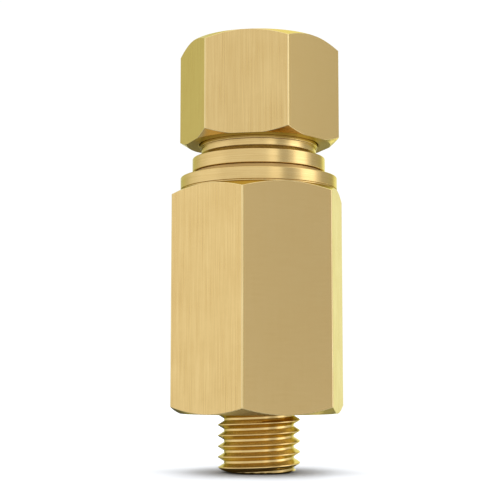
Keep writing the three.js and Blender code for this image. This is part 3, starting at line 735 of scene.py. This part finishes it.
def cutting_ring():
    """Tapered ring with a sharp front edge that grips the tube."""
    bottom, top = heights("cutting_ring")
    neck_top = heights("outlet_adapter")[1]
    shoulder, back = CUTTING_RING["shoulder_radius"], CUTTING_RING["back"]
    return turned("cutting_ring", [
        (RING_BORE, bottom, FINE_EDGE), (cone_radius(bottom, neck_top) - CONE_GAP, bottom, FINE_EDGE),
        (CONE_MOUTH - CONE_GAP, neck_top, EDGE), (shoulder, CUTTING_RING["shoulder"], EDGE),
        (shoulder, top - back, EDGE), (shoulder - back, top, EDGE), (RING_BORE, top, EDGE),
    ])


def wire_groove(outward, steps=8):
    """Round groove for the captive wire, as outline corners: in a bore or on a rim."""
    radius, groove = CAPTIVE_WIRE["radius"], CAPTIVE_WIRE["groove"]
    level = sum(heights("captive_wire")) / 2
    wall = NUT_POCKET["radius"] if outward else reach("thrust_ring")
    meeting = math.acos((wall - radius) / groove)
    half = meeting if outward else math.pi - meeting
    swing = np.linspace(half, -half, steps + 1)
    side = 1 if outward else -1
    points = [(radius + side * groove * math.cos(a), level + groove * math.sin(a)) for a in swing]
    return points if outward else points[::-1]


def thrust_ring():
    """Ring between the nut and the cutting ring."""
    bottom, top = heights("thrust_ring")
    radius, seat = reach("thrust_ring"), THRUST_RING["seat"]
    mouth = radius - THRUST_RING["lip"]
    return turned("thrust_ring", [
        (RING_BORE, seat, EDGE), (mouth - (seat - bottom), seat, FINE_EDGE),
        (mouth, bottom, THIN_EDGE), (radius, bottom, THIN_EDGE), *wire_groove(outward=False),
        (radius, top, EDGE), (RING_BORE, top, EDGE),
    ])


def captive_wire():
    """Open wire ring that keeps the thrust ring in the nut."""
    level = sum(heights("captive_wire")) / 2
    path = arc_path(CAPTIVE_WIRE["radius"], level, CAPTIVE_WIRE["mouth"])
    return swept("captive_wire", path, round_section(CAPTIVE_WIRE["section"]))


def nut_thread_rows(bottom, top, angles):
    """Rows down the nut's inside thread, which follows the neck's thread with a small gap."""
    gap = NUT_THREAD_GAP
    inside = dict(OUTLET, crest=OUTLET["crest"] + gap, root=OUTLET["root"] + gap,
                  crest_flat=OUTLET["crest_flat"] + gap, root_flat=OUTLET["root_flat"] - gap)
    start = NECK_BEAD["top"] - bottom
    inside["lead"] = (OUTLET["lead"] + (start - gap / 2) / OUTLET["pitch"]) % 1
    return thread_rows(inside, bottom, top, angles)[::-1]


def union_nut():
    """Hexagon nut with a turned mouth, an inside thread and a pocket for the rings."""
    bottom, top = heights("union_nut")
    angles, side = hexagon_columns(NUT_FLATS, NUT_CORNER_ANGLE)
    lower = chamfered(side, bottom, NUT_LOWER_END, NUT_FLATS, upward=False)
    upper = chamfered(side, top, NUT_UPPER_END, NUT_FLATS, upward=True)
    mouth_top = bottom + NUT_MOUTH["depth"]
    pocket, hole = NUT_POCKET, NUT_HOLE
    thread = nut_thread_rows(mouth_top, pocket["bottom"], angles)
    # The nut's mouth, thread and pocket take brass painted darker, as the shade inside them.
    around, finishes = rounded([
        (thread[-1][:, 0], mouth_top), (NUT_MOUTH["radius"], mouth_top, FINE_EDGE, SHADED_BORE),
        (NUT_MOUTH["radius"], bottom, BROAD_EDGE, FACED), *lower, *upper,
        (hole["radius"], top, hole["edge"]), (hole["radius"], pocket["top"], EDGE, SHADED_BORE),
        (pocket["radius"], pocket["top"], EDGE, SHADED_BORE),
        *wire_groove(outward=True), (pocket["radius"], pocket["bottom"], EDGE, SHADED_BORE),
        (thread[0][:, 0], pocket["bottom"]),
    ], angles, closed=False)
    return columned("union_nut", thread + around, [SHADED_BORE] * len(thread) + finishes, angles,
                    drawn=flat_finishes(angles, NUT_FLATS, NUT_CORNER_ANGLE, NUT_CROSSED))


# ---------------------------------------------------------------- materials

def join(tree, made, inputs):
    """Sets a node's inputs, or links them to other nodes' sockets."""
    for name, value in inputs.items():
        if isinstance(value, bpy.types.NodeSocket):
            tree.links.new(value, made.inputs[name])
        else:
            made.inputs[name].default_value = value


def shade(tree, kind, inputs, output=0, **settings):
    """Output of a new shader node with some settings and inputs."""
    made = tree.nodes.new(kind)
    for name, value in settings.items():
        setattr(made, name, value)
    join(tree, made, inputs)
    return made.outputs[output]


def math_node(tree, operation, *values):
    """Result of a sum on values that are each a socket or a number."""
    return shade(tree, "ShaderNodeMath", dict(enumerate(values)), operation=operation)


def axes(tree, vector):
    """A vector's X, Y and Z."""
    return [shade(tree, "ShaderNodeSeparateXYZ", {0: vector}, axis) for axis in "XYZ"]


def place(tree, kind="Object"):
    """Coordinates of the point that is shaded."""
    return shade(tree, "ShaderNodeTexCoord", {}, kind)


def scaled(tree, vector, across, along):
    """Coordinates with their third axis scaled apart from the other two."""
    return shade(tree, "ShaderNodeMapping", {"Vector": vector, "Scale": (across, across, along)})


def lengthwise(tree, across, along):
    """Coordinates that stretch a pattern along Z, for drawn bar and ground flats."""
    return scaled(tree, place(tree), across, along)


def roundwise(tree, across, along):
    """Coordinates that stretch a pattern round the Z axis, for turned surfaces."""
    x, y, z = axes(tree, place(tree))
    flat = shade(tree, "ShaderNodeCombineXYZ", {"X": x, "Y": y})
    radius = shade(tree, "ShaderNodeVectorMath", {0: flat}, "Value", operation="LENGTH")
    angle = math_node(tree, "ARCTAN2", y, x)
    joined = shade(tree, "ShaderNodeCombineXYZ", {"X": radius, "Y": z, "Z": angle})
    return scaled(tree, joined, across, along)


def noise(tree, vector, scale=1.0, detail=3.0, roughness=0.55):
    """Noise from 0 to 1 over some coordinates."""
    return shade(tree, "ShaderNodeTexNoise", {
        "Vector": vector, "Scale": scale, "Detail": detail, "Roughness": roughness}, "Fac")


def ranged(tree, value, low, high, start=0.3, end=0.7, **settings):
    """A value moved from one range to another."""
    return shade(tree, "ShaderNodeMapRange", {
        "Value": value, "From Min": start, "From Max": end, "To Min": low, "To Max": high},
        "Result", **settings)


def tinted(tree, factor, low, high):
    """A colour between two, by a factor."""
    return shade(tree, "ShaderNodeMix", {"Factor": factor, "A": (*low, 1), "B": (*high, 1)},
                 "Result", data_type="RGBA")


def bumped(tree, height, depth, strength, **settings):
    """Normal of a surface with fine relief."""
    return shade(tree, "ShaderNodeBump", {
        "Strength": strength, "Distance": depth, "Height": height}, "Normal", **settings)


def principled(name):
    """A new material, its node tree and its shader."""
    made = bpy.data.materials.new(name)
    made.use_nodes = True
    return made, made.node_tree, made.node_tree.nodes["Principled BSDF"]


MARKS = {"detail": 4, "share": 0.65, "depth": 4e-6, "strength": 0.35}
MOTTLE = {"scale": 220, "detail": 4, "roughness": 0.6}
TINT_START, TINT_END = 0.35, 0.65
GRAIN = {"gap_start": 0.1, "gap_end": 0.6, "gloss_size": 4, "strength": 0.8}


def brushed(name, dark, light, rough, marks, rim=(1, 1, 1), across=None,
            strength=MARKS["strength"]):
    """Metal with fine brush marks, over a slow change of colour and gloss.

    `rim` tints what it reflects at a glancing angle, and `across` adds a second set of marks."""
    made, tree, shader = principled(name)
    sets = [noise(tree, kind(tree), detail=MARKS["detail"]) for kind in (marks, across) if kind]
    height = sets[0]
    if across is not None:
        height = math_node(tree, "MULTIPLY_ADD", sets[1], 0.5,
                           math_node(tree, "MULTIPLY", sets[0], 0.5))
    slow = math_node(tree, "MULTIPLY", noise(tree, place(tree), **MOTTLE), 1 - MARKS["share"])
    blend = math_node(tree, "MULTIPLY_ADD", height, MARKS["share"], slow)
    mixed = ranged(tree, blend, 0, 1, TINT_START, TINT_END)
    join(tree, shader, {
        "Metallic": 1.0, "Specular Tint": (*rim, 1), "Base Color": tinted(tree, mixed, dark, light),
        "Roughness": ranged(tree, blend, rough[1], rough[0]),
        "Normal": bumped(tree, height, MARKS["depth"], strength)})
    return made


def grainy(name, dark, light, metallic, rough, grain, depth):
    """Grainy surface, such as sintered metal or moulded rubber."""
    made, tree, shader = principled(name)
    cells = shade(tree, "ShaderNodeTexVoronoi", {"Vector": place(tree), "Scale": grain}, "Distance")
    gaps = ranged(tree, cells, 0, 1, GRAIN["gap_start"], GRAIN["gap_end"])
    gloss = noise(tree, place(tree), grain / GRAIN["gloss_size"])
    join(tree, shader, {
        "Metallic": metallic, "Base Color": tinted(tree, gaps, light, dark),
        "Roughness": ranged(tree, gloss, rough[0], rough[1]),
        "Normal": bumped(tree, cells, depth, GRAIN["strength"], invert=True)})
    return made


def drawn_marks(tree):
    """Fine marks up and down the piece."""
    return lengthwise(tree, 6500, 130)


def crossed_marks(tree):
    """Fine marks across the piece."""
    return lengthwise(tree, 400, 5000)


def turned_marks(tree):
    """Fine marks round the piece."""
    return roundwise(tree, 6000, 1.2)


BRASS_DARK, BRASS_LIGHT, BRASS_RIM = (0.64, 0.45, 0.18), (0.73, 0.54, 0.24), (0.81, 0.84, 0.43)
PLAIN_BRASS = (BRASS_DARK, BRASS_LIGHT)

# Brushed metals: dark and light colours, least and most roughness, and marks. Brass adds its tint
# at a glancing angle, and its cross-brushed flats a second set of marks and their strength.
BRASS = {
    "turned_brass": (*PLAIN_BRASS, (0.16, 0.24), turned_marks, BRASS_RIM),
    "drawn_brass": (*PLAIN_BRASS, (0.18, 0.3), drawn_marks, BRASS_RIM),
    # Bores: rougher, and painted darker as the shade inside them.
    "bore_shade_brass": ((0.55, 0.37, 0.14), (0.66, 0.47, 0.2), (0.25, 0.4), turned_marks, BRASS_RIM),
    "crossed_brass": ((0.65, 0.465, 0.195), (0.71, 0.52, 0.23), (0.2, 0.27), crossed_marks,
                      BRASS_RIM, drawn_marks, 0.03),
    # Lighter brass painted on rounded edges and corners, as a highlight.
    "edge_highlight_brass": ((0.76, 0.58, 0.27), (0.84, 0.68, 0.35), (0.25, 0.35), drawn_marks, BRASS_RIM),
    "faced_brass": (*PLAIN_BRASS, (0.28, 0.38), turned_marks, BRASS_RIM),
    # Greyer brass painted into the neck's relief, so its shade reads olive-dark.
    "relief_shade_brass": ((0.6, 0.52, 0.33), (0.66, 0.57, 0.38), (0.2, 0.3), turned_marks, BRASS_RIM),
}
OTHER_METALS = {
    "ground_steel": ((0.5, 0.51, 0.52), (0.62, 0.63, 0.64), (0.15, 0.28), turned_marks),
    "spring_steel": ((0.26, 0.27, 0.29), (0.4, 0.41, 0.43), (0.22, 0.38), turned_marks),
    "soft_copper": ((0.4, 0.25, 0.085), (0.52, 0.34, 0.13), (0.35, 0.5), turned_marks),
}
# Grainy surfaces: dark and light colours, metal, least and most roughness, grains a metre, depth.
GRAINY = {
    "sintered_bronze": ((0.09, 0.045, 0.012), (0.5, 0.3, 0.11), 0.85, (0.4, 0.7), 7000, 4e-5),
    "moulded_rubber": ((0.012, 0.012, 0.013), (0.022, 0.022, 0.024), 0.0, (0.45, 0.65), 20000, 3e-6),
}
MATERIALS = {name: brushed(name, *values) for name, values in {**BRASS, **OTHER_METALS}.items()}
MATERIALS.update({name: grainy(name, *values) for name, values in GRAINY.items()})
FINISHES = {"brass": list(BRASS), "stainless": ["ground_steel"], "spring_steel": ["spring_steel"],
            "copper": ["soft_copper"], "sintered_bronze": ["sintered_bronze"],
            "rubber": ["moulded_rubber"]}


# ---------------------------------------------------------------- pieces on their bodies

SLOTS = {part["node"]: part["material_slot"] for part in frame["record"]["subparts"]}
BODIES = {name: body for body, names in frame["record"]["behaviour"]["bodies"].items()
          for name in names}


def ride_for(piece, node_name):
    """Puts a piece in the place of its CAD node: the same body, slot and materials."""
    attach(piece, BODIES[node_name])
    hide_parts(node_name)
    for finish in FINISHES[SLOTS[node_name]]:
        piece.data.materials.append(MATERIALS[finish])
    return piece


PIECES = {
    "valve_body": valve_body,
    "inlet_filter": inlet_filter,
    "filter_ring": lambda: open_strip("filter_ring", FILTER_CLIP["inner"], FILTER_CLIP["mouth"]),
    "seat_insert": seat_insert,
    "seat_o_ring": seat_o_ring,
    "needle": needle,
    "spring_clip": lambda: open_strip("spring_clip", CLIP["groove"] + CLIP["gap"], CLIP["mouth"]),
    "spring_seat": lambda: washer("spring_seat", NEEDLE_SHANK + WASHER_GAP["spring_seat"]),
    "needle_carrier": needle_carrier,
    "lock_washer": lambda: washer("lock_washer", LOCK_BORE + WASHER_GAP["lock_washer"]),
    "lock_nut": lock_nut,
    "carrier_spacer": carrier_spacer,
    "disc_spring": disc_spring,
    "body_gasket": body_gasket,
    "outlet_adapter": outlet_adapter,
    "cutting_ring": cutting_ring,
    "thrust_ring": thrust_ring,
    "captive_wire": captive_wire,
    "union_nut": union_nut,
}
for node_name, make in PIECES.items():
    ride_for(make(), node_name)
needle_spring()


# ---------------------------------------------------------------- studio

CAMERA_AZIMUTH = math.radians(10.119)
CAMERA = {"distance": 147.97, "aside": -1.054, "height": 11.0, "pitch": math.radians(5.942),
          "lens": 88.93, "sensor": 36.0, "near": 0.005, "far": 20}


def camera():
    """Camera a little above the foot, looking slightly up, at the view's own angle."""
    back = Vector((math.sin(CAMERA_AZIMUTH), -math.cos(CAMERA_AZIMUTH), 0))
    right = Vector((math.cos(CAMERA_AZIMUTH), math.sin(CAMERA_AZIMUTH), 0))
    data = bpy.data.cameras.new("camera")
    data.lens, data.sensor_width = CAMERA["lens"], CAMERA["sensor"]
    data.clip_start, data.clip_end = CAMERA["near"], CAMERA["far"]
    made = placed("camera", data)
    spot = back * CAMERA["distance"] + right * CAMERA["aside"] + Vector((0, 0, CAMERA["height"]))
    made.location = spot * MM
    made.rotation_euler = (math.pi / 2 + CAMERA["pitch"], 0, CAMERA_AZIMUTH)
    bpy.context.scene.camera = made


# Panels round the object: angle to the right of the camera, half width, soft edge, how much
# brighter or darker than the room, and the lowest and highest rise. All angles are in degrees.
PANELS = [
    (-142, 12, 16, -0.2, -3, 40),
    (-80, 10, 20, 0.12, -6, 40),
    (24, 3, 10, 0.35, -6, 40),
    (44, 5, 9, -0.36, -3, 40),
    (77, 8, 10, 0.95, -6, 40),
    (120, 14, 14, -0.4, -3, 40),
    (162, 12, 12, 0.32, -2, 40),
    (162, 10, 9, 1.6, -16, -10),
    (-167, 24, 8, -0.8, -20, -5),
    (105, 18, 10, 1.2, -24, -6),
]
PANEL_SOFT = {"below": 2.5, "above": 25}
ROOM_LEVEL, OVERHEAD_LEVEL, BELOW_LEVEL = 1.0, 1.3, 0.47
OVERHEAD_START, OVERHEAD_FULL = 35, 70
BELOW_START, BELOW_FULL = 5, 16
SEEN_LEVEL = 1.03        # what the camera sees of the room


def dimmed(tree, value, start, full, level=0):
    """One below `start`, `level` above `full`, and smooth between."""
    return ranged(tree, value, 1, level, start, full, interpolation_type="SMOOTHSTEP")


def panel_light(tree, azimuth, rise, fall, panel):
    """What one panel adds in a direction, in degrees to the right of the camera and above level."""
    angle, half, soft, level, lowest, highest = panel
    off = math_node(tree, "WRAP", math_node(tree, "SUBTRACT", azimuth, angle), 180.0, -180.0)
    across = dimmed(tree, math_node(tree, "ABSOLUTE", off), half, half + soft)
    below, above = PANEL_SOFT["below"], PANEL_SOFT["above" if highest > 0 else "below"]
    low = dimmed(tree, fall, -lowest, below - lowest)
    high = dimmed(tree, rise, highest, highest + above)
    inside = math_node(tree, "MULTIPLY", across, math_node(tree, "MULTIPLY", low, high))
    return math_node(tree, "MULTIPLY", inside, level)


def studio_light():
    """Soft room light with panels at eye level; the camera sees it plain white."""
    world = bpy.data.worlds.new("studio")
    bpy.context.scene.world = world
    world.use_nodes = True
    tree = world.node_tree
    x, y, z = axes(tree, place(tree, "Generated"))
    turn = math_node(tree, "ARCTAN2", x, math_node(tree, "MULTIPLY", y, -1.0))
    azimuth = math_node(tree, "SUBTRACT", math_node(tree, "DEGREES", turn),
                        math.degrees(CAMERA_AZIMUTH))
    rise = math_node(tree, "DEGREES", math_node(tree, "ARCSINE", z))
    fall = math_node(tree, "MULTIPLY", rise, -1.0)
    spare = OVERHEAD_LEVEL - ROOM_LEVEL
    light = math_node(tree, "SUBTRACT", OVERHEAD_LEVEL, math_node(
        tree, "MULTIPLY", dimmed(tree, rise, OVERHEAD_START, OVERHEAD_FULL), spare))
    for panel in PANELS:
        light = math_node(tree, "ADD", light, panel_light(tree, azimuth, rise, fall, panel))
    room = math_node(tree, "MULTIPLY", light, dimmed(
        tree, fall, BELOW_START, BELOW_FULL, BELOW_LEVEL))
    seen = shade(tree, "ShaderNodeLightPath", {}, "Is Camera Ray")
    kept = math_node(tree, "MULTIPLY", room, math_node(tree, "SUBTRACT", 1.0, seen))
    shown = math_node(tree, "MULTIPLY_ADD", seen, SEEN_LEVEL, kept)
    join(tree, tree.nodes["Background"], {"Strength": shown, "Color": (1, 1, 1, 1)})


# The floor that is seen, the floor that the part's foot reflects, and a dark disc in its middle under
# the foot: a painted contact shadow, seen only in reflections. Radius and level are in millimetres.
PALE = (0.44, 0.452, 0.47, 1)
FLOOR = {"name": "floor", "radius": 350.0, "level": -0.02, "colour": PALE}
FOOT = {"name": "foot", "radius": 11.0, "level": -0.01, "colour": PALE}
# A dark disc painted as the contact shadow under the foot, seen only in reflections.
CONTACT_SHADOW = {"name": "contact_shadow", "radius": 5.0, "level": -0.005, "colour": (0.13, 0.1, 0.065, 1)}
FLOOR_SIDES = 96
FLOOR_PAINT = {"Roughness": 0.9, "Specular IOR Level": 0.1}
SOFTBOX = {"size": 1.3, "height": 0.7, "radiance": 4.2}


def softbox():
    """Broad light overhead, left out of the reflections."""
    data = bpy.data.lights.new("softbox", "AREA")
    data.shape = "DISK"
    data.size = SOFTBOX["size"]
    area = math.pi * (SOFTBOX["size"] / 2) ** 2
    data.energy = SOFTBOX["radiance"] * math.pi * area
    made = placed("softbox", data)
    made.location = (0, 0, SOFTBOX["height"])
    made.visible_camera = False
    made.visible_glossy = False


def round_floor(disk):
    """Plain round floor, as an object."""
    mesh = bpy.data.meshes.new(disk["name"])
    radius, level = disk["radius"] * MM, disk["level"] * MM
    around = [TURN * k / FLOOR_SIDES for k in range(FLOOR_SIDES)]
    rim = [(radius * math.cos(a), radius * math.sin(a), level) for a in around]
    mesh.from_pydata(rim, [], [tuple(range(FLOOR_SIDES))])
    paint, tree, shader = principled(disk["name"] + "_paint")
    join(tree, shader, {"Base Color": disk["colour"], **FLOOR_PAINT})
    mesh.materials.append(paint)
    made = placed(disk["name"], mesh)
    return made


def floors():
    """The floor, left out of the reflections, and what the part's foot reflects of it, with a painted
    contact shadow.
    """
    round_floor(FLOOR).visible_glossy = False
    for disk in (FOOT, CONTACT_SHADOW):
        reflected = round_floor(disk)
        reflected.visible_camera = False
        reflected.visible_diffuse = False
        reflected.visible_shadow = False


camera()
studio_light()
softbox()
floors()
bpy.context.scene.view_settings.view_transform = "Standard"
